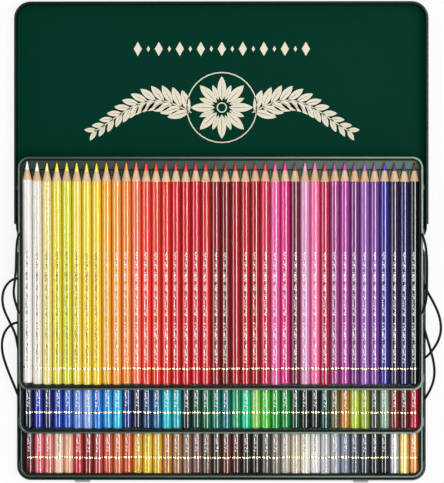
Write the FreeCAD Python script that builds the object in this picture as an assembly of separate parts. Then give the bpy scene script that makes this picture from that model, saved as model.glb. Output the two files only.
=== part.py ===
"""A flat hinged tin of coloured pencils, lying open with its three trays drawn back like steps.

Millimetres. The origin is the middle of the base tin's underside, +Y points from the front of the
base to its hinge, and +Z is up. The lid lies open on the same surface behind the base.
"""
import FreeCAD
import Part
import math
import os

Vec = FreeCAD.Vector
X_AXIS = Vec(1, 0, 0)
Y_AXIS = Vec(0, 1, 0)
Z_AXIS = Vec(0, 0, 1)
SIDES = (-1, 1)

# Both tins
sheet = 0.5
floor_edge_radius = 1.6
overrun = 2.0
level_share = 0.01

# Base tin, which is as large as its trays and their play need
tray_side_play = 0.5
tray_end_play = 1.05
base_corner = 11.0
seam_height = 17.0
seam_gap = 0.4
hem_height = 2.0
hem_thickness = 0.9

# Lid tin, which slips over the front and sides of the base
lid_clearance = 0.4
hinge_wall_gap = 0.25
skirt_overlap = 4.0
skirt_setback = 2.0
curl_width = 1.25
curl_height = 2.0
curl_round = 0.55

# Two stops on the front wall, on which the closed lid's curl comes to rest
stop_spacing = 218.0
stop_length = 12.0
stop_reach = 1.8
stop_height = 4.0
stop_clearance = 0.5
stop_round = 0.8

# Two three-knuckle hinges
hinge_spacing = 200.0
knuckles = 3
knuckle_length = 10.0
knuckle_gap = 0.25
barrel_radius = 1.5
pin_radius = 0.8
pin_clearance = 0.05
pin_end = 0.4
leaf_thickness = 0.6
leaf_height = 9.0
notch_clearance = 0.3

# Pencils
pencils_per_tray = 40
group_size = 5
pencil_length = 175.0
pencil_radius = 3.75
butt_round = 1.1
cone_length = 15.6
wood_end_radius = 2.1
lead_radius = 1.9
lead_tip_radius = 0.25
lead_clearance = 0.02
butt_wall = 1.2
scatter = 0.6
scatter_turn_share = 0.382

# Trays
tray_sheet = 0.8
tray_height = 10.0
pencil_pitch = 7.74
groove_clearance = 0.2
groove_lift = 0.2
ridge_drop = 1.75
side_margin = 0.32
end_play = 1.05
side_flange = 1.8
end_flange = 1.7
flange_corner = 8.5
cavity_corner = 3.0
front_pad_width = 0.8
front_pad_length = 12.6
ramp_length = 8.5
ramp_rise = 3.0
pocket_from_back = 24.1
pocket_radius = 3.5
lug_spacing = 61.2
lug_radius = 1.7
lug_thickness = 1.2
lug_inset = 0.8
cord_hole_radius = 0.95

# Cords, each with a knot under its lug at both ends
cord_radius = 0.8
knot_radius = 1.3
knot_top = 0.9
knot_room = 0.5
knot_wall_gap = 0.1
arc_share = 0.45

# How the trays lie: the bottom one in the base, the others drawn back and leaning on the hinges
tray_step = 35.0
rest_gap = 0.1
hinge_rest_gap = 0.3

# Worked out from the sizes above
base_height = seam_height - seam_gap / 2
notch_bottom = seam_height - barrel_radius - notch_clearance
leaf_length = knuckles * knuckle_length + (knuckles - 1) * knuckle_gap
pencil_axis = groove_lift + tray_sheet + groove_clearance + pencil_radius
groove_radius = pencil_radius + groove_clearance
ridge_height = pencil_axis - ridge_drop
first_pencil = -(pencils_per_tray - 1) / 2 * pencil_pitch
cavity_half_width = -first_pencil + groove_radius + side_margin
cavity_half_length = pencil_length / 2 + end_play
wall_half_width = cavity_half_width + tray_sheet
wall_half_length = cavity_half_length + tray_sheet
flange_half_width = wall_half_width + side_flange
flange_half_length = wall_half_length + end_flange
base_width = 2 * (flange_half_width + front_pad_width + tray_side_play + hem_thickness)
base_depth = 2 * (flange_half_length + tray_end_play + hem_thickness)
hinge_y = base_depth / 2 + hinge_wall_gap
lug_x = flange_half_width - lug_inset
lug_y = lug_spacing / 2
bottom_tray_height = sheet + rest_gap
barrel_top = seam_height + barrel_radius
lean_from = bottom_tray_height + tray_height + rest_gap
lean_run = hinge_y - tray_step + wall_half_length
lean_angle = math.asin((barrel_top + hinge_rest_gap - lean_from) / lean_run)


def place(lean, y, z):
    """Return the placement of a tray that leans back by an angle, with its middle at y and z."""
    return FreeCAD.Placement(Vec(0, y, z), FreeCAD.Rotation(X_AXIS, math.degrees(lean)))


def tray_placements():
    """Return each tray's name and placement, from the bottom up."""
    middle_y = tray_step
    middle_z = lean_from + wall_half_length * math.sin(lean_angle)
    up = tray_height + rest_gap
    top_y = middle_y + tray_step * math.cos(lean_angle) - up * math.sin(lean_angle)
    top_z = middle_z + tray_step * math.sin(lean_angle) + up * math.cos(lean_angle)
    return (
        ("bottom", place(0, 0, bottom_tray_height)),
        ("middle", place(lean_angle, middle_y, middle_z)),
        ("top", place(lean_angle, top_y, top_z)),
    )


def box(x0, x1, y0, y1, z0, z1):
    """Return a box between two corners."""
    return Part.makeBox(x1 - x0, y1 - y0, z1 - z0, Vec(x0, y0, z0))


def rounded_block(half_width, y0, y1, radius, z0, z1):
    """Return an upright block with rounded corners, centred on x."""
    bend = radius * math.sin(math.pi / 4)
    corners = (
        (half_width - radius, y0 + radius, 1, -1),
        (half_width - radius, y1 - radius, 1, 1),
        (-half_width + radius, y1 - radius, -1, 1),
        (-half_width + radius, y0 + radius, -1, -1),
    )
    arcs = []
    for x, y, right, back in corners:
        along_x = Vec(x + right * radius, y, z0)
        along_y = Vec(x, y + back * radius, z0)
        middle = Vec(x + right * bend, y + back * bend, z0)
        start, end = (along_y, along_x) if right * back < 0 else (along_x, along_y)
        arcs.append((start, middle, end))
    edges = []
    for number, (start, middle, end) in enumerate(arcs):
        edges.append(Part.Arc(start, middle, end).toShape())
        edges.append(Part.LineSegment(end, arcs[(number + 1) % len(arcs)][0]).toShape())
    return Part.Face(Part.Wire(edges)).extrude(Vec(0, 0, z1 - z0))


def edges_at(shape, height):
    """Return the edges of a shape that lie flat at one height."""
    near = sheet * level_share
    flat = []
    for edge in shape.Edges:
        bounds = edge.BoundBox
        if abs(bounds.ZMin - height) < near and abs(bounds.ZMax - height) < near:
            flat.append(edge)
    return flat


def pressed_pan(half_width, y0, y1, radius, height):
    """Return an open pan of sheet metal with a rounded floor edge, standing on z = 0."""
    outer = rounded_block(half_width, y0, y1, radius, 0, height)
    outer = outer.makeFillet(floor_edge_radius, edges_at(outer, 0))
    inner = rounded_block(
        half_width - sheet, y0 + sheet, y1 - sheet, radius - sheet, sheet, height + overrun
    )
    inner = inner.makeFillet(floor_edge_radius - sheet, edges_at(inner, sheet))
    return outer.cut(inner)


def hinge_notch(x, bottom):
    """Return the cut, down to a height, that lets one hinge into the two walls at the seam."""
    half = leaf_length / 2 + pin_end + notch_clearance
    reach = hem_thickness + hinge_wall_gap + overrun
    return box(x - half, x + half, hinge_y - reach, hinge_y + reach, bottom, seam_height + overrun)


def base_tin():
    """Return the base: a pressed pan with a folded hem round its top and two hinge notches."""
    half_width = base_width / 2
    half_depth = base_depth / 2
    pan = pressed_pan(half_width, -half_depth, half_depth, base_corner, base_height)
    hem_bottom = base_height - hem_height
    hem = rounded_block(half_width, -half_depth, half_depth, base_corner, hem_bottom, base_height)
    hem = hem.cut(
        rounded_block(
            half_width - hem_thickness, -half_depth + hem_thickness, half_depth - hem_thickness,
            base_corner - hem_thickness, hem_bottom - overrun, base_height + overrun
        )
    )
    for side in SIDES:
        hem = hem.cut(hinge_notch(side * hinge_spacing / 2, hem_bottom - overrun))
    tin = pan.fuse(hem).removeSplitter()
    for side in SIDES:
        tin = tin.cut(hinge_notch(side * hinge_spacing / 2, notch_bottom))
    return tin


def lid_tin():
    """Return the lid lying open: a pressed pan whose skirt and curl stop short of the hinge."""
    half_width = base_width / 2 + lid_clearance + sheet
    near = hinge_y + hinge_wall_gap
    far = 2 * hinge_y + base_depth / 2 + lid_clearance + sheet
    corner = base_corner + lid_clearance + sheet
    top = seam_height + skirt_overlap
    pan = pressed_pan(half_width, near, far, corner, top)
    curl = rounded_block(
        half_width + curl_width, near - curl_width, far + curl_width, corner + curl_width,
        top - curl_height, top
    )
    curl = curl.makeFillet(curl_round, edges_at(curl, top) + edges_at(curl, top - curl_height))
    curl = curl.cut(
        rounded_block(
            half_width - sheet, near + sheet, far - sheet, corner - sheet,
            top - curl_height - overrun, top + overrun
        )
    )
    tin = pan.fuse(curl).removeSplitter()
    skirt_start = near + corner + skirt_setback
    reach = half_width + curl_width + overrun
    tin = tin.cut(
        box(-reach, reach, near - curl_width - overrun, skirt_start, base_height, top + overrun)
    )
    for side in SIDES:
        tin = tin.cut(hinge_notch(side * hinge_spacing / 2, notch_bottom))
    return tin


def front_stops():
    """Return the two stops on the base's front wall."""
    front = -base_depth / 2
    curl_bottom = seam_height - skirt_overlap
    top = curl_bottom - stop_clearance
    stops = []
    for side in SIDES:
        x = side * stop_spacing / 2
        stop = box(
            x - stop_length / 2, x + stop_length / 2, front - stop_reach, front, top - stop_height, top
        )
        corners = [
            edge for edge in stop.Edges
            if edge.BoundBox.YMax < front and edge.BoundBox.ZLength > stop_height / 2
        ]
        stops.append(stop.makeFillet(stop_round, corners))
    return Part.makeCompound(stops)


def knuckle(x0, x1, away):
    """Return one knuckle and the strip that joins it to a leaf, on the side given by away."""
    barrel = Part.makeCylinder(barrel_radius, x1 - x0, Vec(x0, hinge_y, seam_height), X_AXIS)
    bore = Part.makeCylinder(
        pin_radius + pin_clearance, x1 - x0 + 2 * overrun, Vec(x0 - overrun, hinge_y, seam_height), X_AXIS
    )
    face = hinge_y + away * (hinge_wall_gap + sheet)
    back = face + away * leaf_thickness
    strip = box(x0, x1, min(face, back), max(face, back), notch_bottom, seam_height)
    return barrel.fuse(strip).cut(bore)


def hinge_leaf(x, away, shares):
    """Return one hinge leaf with knuckles at the given shares of its middle knuckle's pitch."""
    half = leaf_length / 2
    face = hinge_y + away * (hinge_wall_gap + sheet)
    back = face + away * leaf_thickness
    leaf_bottom = notch_bottom - leaf_height
    leaf = box(x - half, x + half, min(face, back), max(face, back), leaf_bottom, notch_bottom)
    for share in shares:
        middle = x + share * (knuckle_length + knuckle_gap)
        leaf = leaf.fuse(knuckle(middle - knuckle_length / 2, middle + knuckle_length / 2, away))
    return leaf.removeSplitter()


def hinge_leaves(away, shares):
    """Return the two leaves of one tin."""
    return Part.makeCompound([hinge_leaf(side * hinge_spacing / 2, away, shares) for side in SIDES])


def hinge_pins():
    """Return the two hinge pins."""
    length = leaf_length + 2 * pin_end
    pins = []
    for side in SIDES:
        start = Vec(side * hinge_spacing / 2 - length / 2, hinge_y, seam_height)
        pins.append(Part.makeCylinder(pin_radius, length, start, X_AXIS))
    return Part.makeCompound(pins)


def groove_edges():
    """Return the upper outline of the grooved tray floor, from left to right, and its two ends."""
    half = math.sqrt(groove_radius ** 2 - ridge_drop ** 2)
    end = cavity_half_width + tray_sheet / 2
    last = Vec(-end, 0, ridge_height)
    edges = []
    for number in range(pencils_per_tray):
        x = first_pencil + number * pencil_pitch
        start = Vec(x - half, 0, ridge_height)
        lowest = Vec(x, 0, pencil_axis - groove_radius)
        finish = Vec(x + half, 0, ridge_height)
        edges.append(Part.LineSegment(last, start).toShape())
        edges.append(Part.Arc(start, lowest, finish).toShape())
        last = finish
    edges.append(Part.LineSegment(last, Vec(end, 0, ridge_height)).toShape())
    return edges, end


def corrugated_floor(y0, y1):
    """Return the formed floor between two places: one groove a pencil, one sheet thick."""
    edges, end = groove_edges()
    radius = groove_radius + tray_sheet
    half = pencil_pitch / 2
    cusp = pencil_axis - math.sqrt(radius ** 2 - half ** 2)
    last = Vec(-end, 0, cusp)
    edges.append(Part.LineSegment(Vec(-end, 0, ridge_height), last).toShape())
    for number in range(pencils_per_tray):
        x = first_pencil + number * pencil_pitch
        start = Vec(x - half, 0, cusp)
        if number == 0:
            edges.append(Part.LineSegment(last, start).toShape())
        last = Vec(x + half, 0, cusp)
        edges.append(Part.Arc(start, Vec(x, 0, pencil_axis - radius), last).toShape())
    edges.append(Part.LineSegment(last, Vec(end, 0, cusp)).toShape())
    edges.append(Part.LineSegment(Vec(end, 0, cusp), Vec(end, 0, ridge_height)).toShape())
    wire = Part.Wire(Part.__sortEdges__(edges))
    floor = Part.Face(wire).extrude(Vec(0, y1 - y0, 0))
    floor.translate(Vec(0, y0, 0))
    return floor


def floor_bulkhead(y0, y1):
    """Return the upright web that closes the grooved floor where the tip ramp begins."""
    edges, end = groove_edges()
    corners = (
        Vec(-end, 0, ridge_height), Vec(-end, 0, groove_lift), Vec(end, 0, groove_lift),
        Vec(end, 0, ridge_height)
    )
    for start, finish in zip(corners, corners[1:]):
        edges.append(Part.LineSegment(start, finish).toShape())
    web = Part.Face(Part.Wire(Part.__sortEdges__(edges))).extrude(Vec(0, y1 - y0, 0))
    web.translate(Vec(0, y0, 0))
    return web


def tip_ramp(y0, y1):
    """Return the sloping floor under the pencil tips."""
    end = cavity_half_width + tray_sheet / 2
    outline = Part.makePolygon([
        Vec(-end, y0, groove_lift), Vec(-end, y1, groove_lift + ramp_rise),
        Vec(-end, y1, groove_lift + ramp_rise + tray_sheet), Vec(-end, y0, groove_lift + tray_sheet),
        Vec(-end, y0, groove_lift)
    ])
    return Part.Face(outline).extrude(Vec(2 * end, 0, 0))


def flange():
    """Return the flat flange round the tray's rim, a little wider at the front corners."""
    bottom = tray_height - tray_sheet
    ring = rounded_block(
        flange_half_width, -flange_half_length, flange_half_length, flange_corner, bottom, tray_height
    )
    pads = rounded_block(
        flange_half_width + front_pad_width, -flange_half_length, flange_half_length, flange_corner,
        bottom, tray_height
    )
    reach = flange_half_width + front_pad_width + overrun
    front = box(
        -reach, reach, -flange_half_length - overrun, -flange_half_length + front_pad_length,
        bottom - overrun, tray_height + overrun
    )
    return ring.fuse(pads.common(front))


def pencil_tray():
    """Return one formed tray in its own frame, standing on z = 0."""
    wall = rounded_block(
        wall_half_width, -wall_half_length, wall_half_length, cavity_corner + tray_sheet, 0, tray_height
    )
    cavity = rounded_block(
        cavity_half_width, -cavity_half_length, cavity_half_length, cavity_corner, -overrun,
        tray_height + overrun
    )
    pocket_y = flange_half_length - pocket_from_back
    rim = wall.fuse(flange())
    for side in SIDES:
        outside = box(
            min(side * cavity_half_width, side * (cavity_half_width + pocket_radius + overrun)),
            max(side * cavity_half_width, side * (cavity_half_width + pocket_radius + overrun)),
            pocket_y - pocket_radius - overrun, pocket_y + pocket_radius + overrun, 0, tray_height
        )
        bulge = Part.makeCylinder(
            pocket_radius, tray_height - ridge_height + tray_sheet,
            Vec(side * cavity_half_width, pocket_y, ridge_height - tray_sheet), Z_AXIS
        )
        rim = rim.fuse(bulge.common(outside))
        for end in SIDES:
            rim = rim.fuse(Part.makeCylinder(
                lug_radius, lug_thickness, Vec(side * lug_x, end * lug_y, tray_height - lug_thickness), Z_AXIS
            ))
    rim = rim.cut(cavity)
    ramp_start = cavity_half_length - ramp_length
    tray = rim.multiFuse([
        corrugated_floor(-cavity_half_length - tray_sheet / 2, ramp_start),
        floor_bulkhead(ramp_start - tray_sheet, ramp_start),
        tip_ramp(ramp_start - tray_sheet / 2, cavity_half_length + tray_sheet / 2),
    ]).removeSplitter()
    for side in SIDES:
        tray = tray.cut(Part.makeCylinder(
            pocket_radius - tray_sheet, tray_height,
            Vec(side * cavity_half_width, pocket_y, ridge_height), Z_AXIS
        ))
        for end in SIDES:
            tray = tray.cut(Part.makeCylinder(
                cord_hole_radius, lug_thickness + 2 * overrun,
                Vec(side * lug_x, end * lug_y, tray_height - lug_thickness - overrun), Z_AXIS
            ))
    return tray


def turned(points):
    """Return the solid that an outline of radius and length points makes, turned about Y."""
    outline = [Vec(radius, along, 0) for radius, along in points]
    face = Part.Face(Part.makePolygon(outline + outline[:1]))
    return face.revolve(Vec(0, 0, 0), Y_AXIS, 360)


def pencil_casing():
    """Return a pencil's wooden casing, bored for its lead, with its butt at y = 0."""
    cone_start = pencil_length - cone_length
    wood_end = pencil_length - cone_length * wood_end_radius / pencil_radius
    bore = lead_radius + lead_clearance
    casing = turned((
        (0, 0), (pencil_radius, 0), (pencil_radius, cone_start), (wood_end_radius, wood_end),
        (bore, wood_end), (bore, butt_wall), (0, butt_wall)
    ))
    butt = [
        edge for edge in casing.Edges
        if edge.BoundBox.YMax < butt_round and edge.BoundBox.XLength > pencil_radius
    ]
    return casing.makeFillet(butt_round, butt[:1])


def pencil_lead():
    """Return a pencil's lead, sharpened, in the casing's frame."""
    shoulder = pencil_length - cone_length * lead_radius / pencil_radius
    start = butt_wall + lead_clearance
    return turned((
        (0, start), (lead_radius, start), (lead_radius, shoulder), (lead_tip_radius, pencil_length),
        (0, pencil_length)
    ))


def pencil_places():
    """Return where the butt of each pencil lies in its tray, each pushed along a little."""
    places = []
    for number in range(pencils_per_tray):
        push = scatter * math.sin(2 * math.pi * scatter_turn_share * number ** 2)
        x = first_pencil + number * pencil_pitch
        places.append(Vec(x, push - pencil_length / 2, pencil_axis))
    return places


def moved(shape, offset, placement):
    """Return a copy of a shape, shifted in a tray's frame and laid where the tray lies."""
    copy = shape.copy()
    copy.Placement = placement.multiply(FreeCAD.Placement(offset, FreeCAD.Rotation()))
    return copy


def cord_wire(points):
    """Return a cord's path of straight runs and tangent arcs, with its arc radii and length."""
    edges = []
    radii = []
    start = points[0]
    for before, point, after in zip(points, points[1:], points[2:]):
        back = before - point
        ahead = after - point
        tangent = arc_share * min(back.Length, ahead.Length)
        half_turn = (math.pi - back.getAngle(ahead)) / 2
        radius = tangent / math.tan(half_turn)
        back.normalize()
        ahead.normalize()
        enter = point + back * tangent
        leave = point + ahead * tangent
        inward = back + ahead
        inward.normalize()
        middle = point + inward * (radius / math.cos(half_turn) - radius)
        edges.append(Part.LineSegment(start, enter).toShape())
        edges.append(Part.Arc(enter, middle, leave).toShape())
        radii.append(radius)
        start = leave
    edges.append(Part.LineSegment(start, points[-1]).toShape())
    wire = Part.Wire(edges)
    return wire, radii


def cord_tube(name, points):
    """Return a cord as a tube along its route, printing how it bends and how true it came out."""
    route = [Vec(*point) for point in points]
    wire, radii = cord_wire(route)
    section = Part.Wire(Part.makeCircle(cord_radius, route[0], route[1] - route[0]))
    tube = wire.makePipeShell([section], True, False)
    expected = math.pi * cord_radius ** 2 * wire.Length
    print(
        name, "length", round(wire.Length, 1), "least radius", round(min(radii), 2),
        "volume share", round(tube.Volume / expected, 4)
    )
    return tube


def knots():
    """Return the four knots under one tray's lugs, pressed flat against its side walls."""
    seat = knot_centre()
    stops = []
    for side in SIDES:
        inner = side * (wall_half_width + knot_wall_gap)
        outer = side * (wall_half_width + knot_wall_gap + 2 * knot_radius)
        for end in SIDES:
            ball = Part.makeSphere(knot_radius, Vec(side * lug_x, end * lug_y, seat))
            keep = box(
                min(inner, outer), max(inner, outer), end * lug_y - knot_radius, end * lug_y + knot_radius,
                seat - knot_radius, seat + knot_top
            )
            stops.append(ball.common(keep))
    return Part.makeCompound(stops)


def knot_centre():
    """Return the height of a knot's middle in its tray."""
    return tray_height - lug_thickness - knot_room - knot_top


# Cord routes in their trays' frames, from the knot near the hinge to the knot near the front
cord_routes = {
    "top_left_cord": (
        (-157.0, 30.6, 8.3), (-157.0, 30.6, 11.6), (-157.8, 29.2, 15.0), (-159.0, 26.0, 16.2),
        (-160.0, 20.6, 14.6), (-160.4, 12.5, 10.8), (-160.8, 3.0, 8.4), (-161.8, -5.5, 6.4),
        (-162.3, -12.5, 4.2), (-161.8, -17.5, 6.4), (-160.4, -22.0, 11.2), (-158.8, -26.0, 15.0),
        (-157.7, -29.1, 15.4), (-157.0, -30.6, 11.6), (-157.0, -30.6, 8.3),
    ),
    "top_right_cord": (
        (157.0, 30.6, 8.3), (157.0, 30.6, 11.6), (157.6, 29.3, 15.0), (158.7, 26.2, 16.4),
        (160.0, 20.4, 15.0), (160.7, 12.6, 10.8), (160.9, 3.4, 8.0), (160.8, -6.0, 6.6),
        (160.7, -13.2, 5.2), (160.4, -18.6, 7.6), (159.6, -23.2, 12.2), (158.5, -26.5, 15.2),
        (157.6, -29.3, 15.4), (157.0, -30.6, 11.6), (157.0, -30.6, 8.3),
    ),
    "middle_left_cord": (
        (-157.0, 30.6, 8.3), (-157.0, 30.6, 11.2), (-158.6, 30.8, 13.6), (-161.8, 30.4, 13.8),
        (-166.2, 27.4, 11.8), (-169.8, 22.0, 10.0), (-171.3, 14.4, 8.8), (-169.9, 5.8, 8.6),
        (-165.4, -3.4, 9.0), (-160.6, -13.0, 10.8), (-158.9, -21.5, 13.4), (-157.7, -28.2, 14.8),
        (-157.0, -30.6, 11.6), (-157.0, -30.6, 8.3),
    ),
    "middle_right_cord": (
        (157.0, 30.6, 8.3), (157.0, 30.6, 11.1), (157.5, 29.2, 13.6), (158.8, 25.6, 14.0),
        (161.2, 20.2, 12.2), (166.4, 11.0, 9.6), (170.6, 1.2, 8.4), (172.3, -8.4, 8.4),
        (170.4, -17.0, 9.0), (166.2, -24.2, 10.4), (162.2, -28.8, 12.6), (159.6, -31.0, 13.9),
        (157.6, -31.0, 12.9), (157.0, -30.6, 10.6), (157.0, -30.6, 8.3),
    ),
    "bottom_left_cord": (
        (-157.0, 30.6, 8.3), (-157.0, 30.6, 13.2), (-158.0, 30.6, 18.4), (-161.4, 30.2, 19.4),
        (-166.0, 27.8, 17.6), (-170.2, 22.4, 14.6), (-172.6, 14.8, 12.6), (-172.0, 5.6, 12.0),
        (-168.4, -4.6, 13.0), (-164.4, -14.0, 15.6), (-160.4, -23.0, 18.4), (-158.2, -28.6, 18.9),
        (-157.2, -30.2, 15.6), (-157.0, -30.6, 11.8), (-157.0, -30.6, 8.3),
    ),
    "bottom_right_cord": (
        (157.0, 30.6, 8.3), (157.0, 30.6, 12.4), (157.3, 29.9, 16.8), (158.6, 26.2, 18.9),
        (160.6, 19.4, 18.6), (163.6, 9.4, 16.6), (166.2, -0.6, 14.4), (167.0, -9.8, 13.8),
        (165.2, -18.2, 15.4), (161.6, -25.4, 18.2), (158.6, -29.8, 18.9), (157.2, -30.9, 15.6),
        (157.0, -30.6, 11.9), (157.0, -30.6, 8.3),
    ),
}


def save(name, shape):
    """Write one node."""
    shape.exportStep("parts/" + name + ".step")


def save_tray(name, placement, tray, casing, lead):
    """Write one tray with its knots, cords and pencils, laid where the tray lies."""
    origin = Vec(0, 0, 0)
    save(name + "_tray", moved(tray, origin, placement))
    save(name + "_cord_knots", moved(knots(), origin, placement))
    for side in ("left", "right"):
        cord = name + "_" + side + "_cord"
        save(cord, moved(cord_tube(cord, cord_routes[cord]), origin, placement))
    places = pencil_places()
    for first in range(0, pencils_per_tray, group_size):
        group = [moved(casing, spot, placement) for spot in places[first:first + group_size]]
        save(name + "_pencils_" + str(first // group_size + 1), Part.makeCompound(group))
    save(name + "_pencil_leads", Part.makeCompound([moved(lead, spot, placement) for spot in places]))


def main():
    """Write every node of the open tin."""
    os.makedirs("parts", exist_ok=True)
    save("base_tin", base_tin())
    save("base_front_stops", front_stops())
    save("base_hinge_leaves", hinge_leaves(-1, (-1, 1)))
    save("hinge_pins", hinge_pins())
    save("lid_tin", lid_tin())
    save("lid_hinge_leaves", hinge_leaves(1, (0,)))
    tray = pencil_tray()
    casing = pencil_casing()
    lead = pencil_lead()
    for name, placement in tray_placements():
        save_tray(name, placement, tray, casing, lead)


main()
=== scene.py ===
"""Dresses an open tin of coloured pencils: enamelled tins, formed trays, lacquered pencils and cords."""
import logging
import math
from dataclasses import dataclass
from enum import Enum

import bmesh
import bpy
import numpy as np
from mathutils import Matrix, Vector

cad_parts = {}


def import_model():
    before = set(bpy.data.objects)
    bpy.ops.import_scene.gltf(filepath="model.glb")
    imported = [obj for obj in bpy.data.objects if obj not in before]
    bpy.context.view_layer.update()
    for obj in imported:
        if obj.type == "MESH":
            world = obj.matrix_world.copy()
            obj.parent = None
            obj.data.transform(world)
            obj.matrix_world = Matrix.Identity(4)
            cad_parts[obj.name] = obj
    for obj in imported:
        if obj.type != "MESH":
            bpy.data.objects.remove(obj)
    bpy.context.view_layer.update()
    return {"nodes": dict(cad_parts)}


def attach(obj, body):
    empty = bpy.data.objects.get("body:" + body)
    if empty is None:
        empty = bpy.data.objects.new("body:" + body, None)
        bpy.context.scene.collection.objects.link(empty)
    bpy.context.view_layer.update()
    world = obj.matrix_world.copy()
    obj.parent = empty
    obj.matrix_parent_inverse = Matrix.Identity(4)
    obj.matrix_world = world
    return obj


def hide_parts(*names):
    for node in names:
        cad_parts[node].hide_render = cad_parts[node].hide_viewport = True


LOG = logging.getLogger("pencil_tin")
MM = 0.001
PHOTO_WIDTH = 444
PHOTO_HEIGHT = 483
PENCILS_A_TRAY = 40
GROUP_SIZE = 5
MERGE_DISTANCE = 0.000001
SHARP_DEGREES = 40.0
HALF_TURN = 0.5
Socket = bpy.types.NodeSocket


class Tray(Enum):
    """The three trays, from the bottom up."""

    BOTTOM = "bottom"
    MIDDLE = "middle"
    TOP = "top"

    @property
    def body(self) -> str:
        """Returns the name of the tray's body, which is also its node's."""
        return f"{self.value}_tray"


class Side(Enum):
    """The two sides of a tray that carry a cord."""

    LEFT = "left"
    RIGHT = "right"


PAINTS: dict[Tray, dict[str, str]] = {
    Tray.TOP: {
        "white": "#f5f3f0", "ivory": "#ece6d8", "cream": "#f0e08e", "lemon": "#ecdc44",
        "lime_yellow": "#dadb38", "pale_yellow": "#f1d954", "yellow": "#f4d63c", "deep_yellow": "#f5d030",
        "golden": "#f2ad2a", "light_orange": "#f3a042", "orange": "#ee8a34", "apricot": "#ef7850",
        "coral_red": "#ea4430", "vermilion": "#e23e26", "poppy": "#de2a20", "signal_red": "#d01c22",
        "scarlet": "#cb1018", "crimson": "#c8122a", "cherry": "#cf1a20", "oxblood": "#8e1014",
        "wine": "#7c0a10", "ruby": "#a80e18", "carmine": "#bf1020", "garnet": "#a60c16",
        "raspberry": "#d4244c", "rose_pink": "#e65aa2", "fuchsia": "#de2480", "mulberry": "#6e1030",
        "pale_lilac": "#dc94c4", "candy_pink": "#f46ea0", "claret": "#b81c48", "orchid": "#9c3f84",
        "magenta": "#b03a9c", "plum": "#722c76", "lilac": "#9258ac", "violet": "#7a3c98",
        "blue_violet": "#2a2090", "aubergine": "#2c1a44", "night_blue": "#14145a", "blue_black": "#0e1018",
    },
    Tray.MIDDLE: {
        "indigo": "#10183c", "ultramarine": "#0c2aa6", "deep_indigo": "#0e1860", "royal_blue": "#0c3cae",
        "cobalt": "#225cbe", "periwinkle": "#6288d4", "ice_blue": "#88a8e4", "azure": "#0a78d4",
        "cerulean": "#0c90d8", "cyan": "#14b8e8", "navy": "#122e84", "ink_blue": "#181a40",
        "steel_blue": "#0a3e74", "petrol": "#086494", "turquoise": "#0cbcc6", "teal": "#0aa6b2",
        "black_green": "#0c2420", "fir": "#0c4a38", "pine": "#066c46", "sea_green": "#047866",
        "dark_teal": "#04707c", "emerald": "#049460", "mint": "#02c692", "apple": "#84cc50",
        "grass": "#50c43e", "leaf_green": "#069a30", "kelly_green": "#049038", "bottle": "#0e4430",
        "forest_black": "#0a1c18", "deep_forest": "#0c1814", "spruce": "#0c4838", "olive_brown": "#6a5c3c",
        "ochre": "#c08030", "chartreuse": "#b4cc34", "moss": "#98ac34", "dark_olive": "#3c4636",
        "sage": "#8cac98", "brick": "#7c2420", "maroon": "#5c1818", "red": "#b8142c",
    },
    Tray.BOTTOM: {
        "dark_cherry": "#5c1a26", "salmon": "#e8687a", "old_rose": "#d87a70", "skin": "#f2cdb4",
        "peach": "#efb490", "madder": "#c22432", "rust_red": "#8c1c1c", "dusty_red": "#b8464a",
        "terracotta": "#cc5638", "copper_orange": "#d87244", "burnt_orange": "#cf4c1c",
        "mustard": "#d6a42c", "sunflower": "#ecc42a", "amber": "#e0b428", "caramel": "#bf7a3a",
        "tan": "#a87a52", "mocha": "#8a6a58", "mauve_brown": "#7c5654", "umber": "#60503e",
        "dark_umber": "#3a2a20", "chestnut": "#6e3428", "mahogany": "#50221e", "bistre": "#2c241c",
        "sepia": "#2a2420", "warm_grey": "#5a5450", "stone": "#7c766e", "light_stone": "#b4aea4",
        "sand": "#d0c2aa", "shell": "#ece6d8", "pale_grey": "#e6e6e2", "silver_grey": "#bcc0c2",
        "cool_grey": "#a4acb2", "slate": "#80869a", "blue_grey": "#50586a", "dark_slate": "#3a4250",
        "charcoal": "#262c36", "black": "#14161c", "silver": "#a6aaad", "gold": "#e0c274",
        "copper": "#c8803e",
    },
}
METAL_PAINTS: tuple[str, ...] = ("silver", "gold", "copper")


def linear(code: str) -> tuple[float, float, float, float]:
    """Turns a hexadecimal screen colour into linear light by the sRGB curve.

    Args:
        code: the colour as # and six hexadecimal digits.

    Returns:
        Red, green, blue and an alpha of 1.
    """
    parts = [int(code[at:at + 2], 16) / 255 for at in (1, 3, 5)]
    light = [part / 12.92 if part <= 0.04045 else ((part + 0.055) / 1.055) ** 2.4 for part in parts]
    return light[0], light[1], light[2], 1.0


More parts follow.
